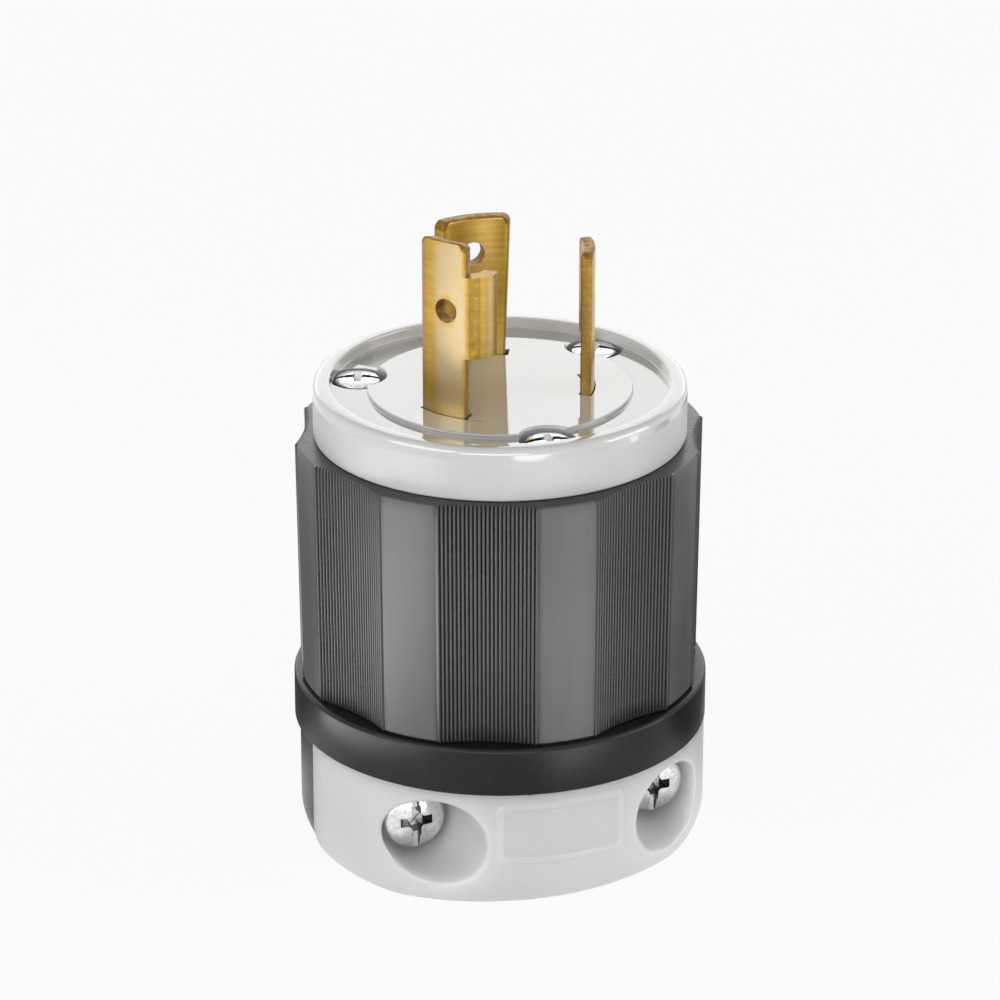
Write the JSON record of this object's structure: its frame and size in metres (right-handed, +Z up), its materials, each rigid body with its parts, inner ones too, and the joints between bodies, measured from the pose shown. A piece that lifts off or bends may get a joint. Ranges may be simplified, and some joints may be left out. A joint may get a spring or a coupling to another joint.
{
  "type": "locking power plug",
  "caption": "Three-blade twist-locking power plug with a white face, ribbed black shell, flange ring and a screw-tightened cord clamp.",
  "frame": {"origin": "middle of the foot that the plug stands on, on the floor", "axes": "+Z up along the plug's axis to the blades' tips, -Y out of the clamp jaw at the front, +X to the right of it"},
  "size_m": [0.0427, 0.0427, 0.0686],
  "materials": {
    "white_nylon": "polished white nylon, slightly translucent",
    "white_clamp": "satin white nylon, slightly translucent",
    "black_nylon": "satin black nylon",
    "black_housing": "satin black nylon",
    "blade_brass": "rolled and stamped, faint vertical brushing",
    "plate_brass": "bright",
    "zinc_plate": "bright zinc plating",
    "green_screw": "green dyed plating",
    "terminal_moulding": "plain moulding",
    "dark_moulding": "plain moulding"
  },
  "bodies": {
    "root": {"back_housing": "black_housing", "body_shell": "black_nylon", "face_disc": "white_nylon", "blade_ground": "blade_brass", "blade_neutral": "blade_brass", "blade_hot": "blade_brass", "terminal_body": "terminal_moulding", "blade_retainer": "dark_moulding", "pressure_plate_ground": "plate_brass", "pressure_plate_neutral": "zinc_plate", "pressure_plate_hot": "plate_brass", "terminal_screw_ground": "green_screw", "terminal_screw_neutral": "zinc_plate", "terminal_screw_hot": "plate_brass", "face_screws": "zinc_plate", "clamp_nuts": "zinc_plate"},
    "clamp": {"clamp_jaw": "white_clamp", "clamp_screws": "zinc_plate"}
  },
  "joints": [
    {"name": "clamp_slide", "type": "slide", "parent": "root", "child": "clamp", "axis": [0, -1, 0], "range_m": [0, 0.0075]}
  ]
}
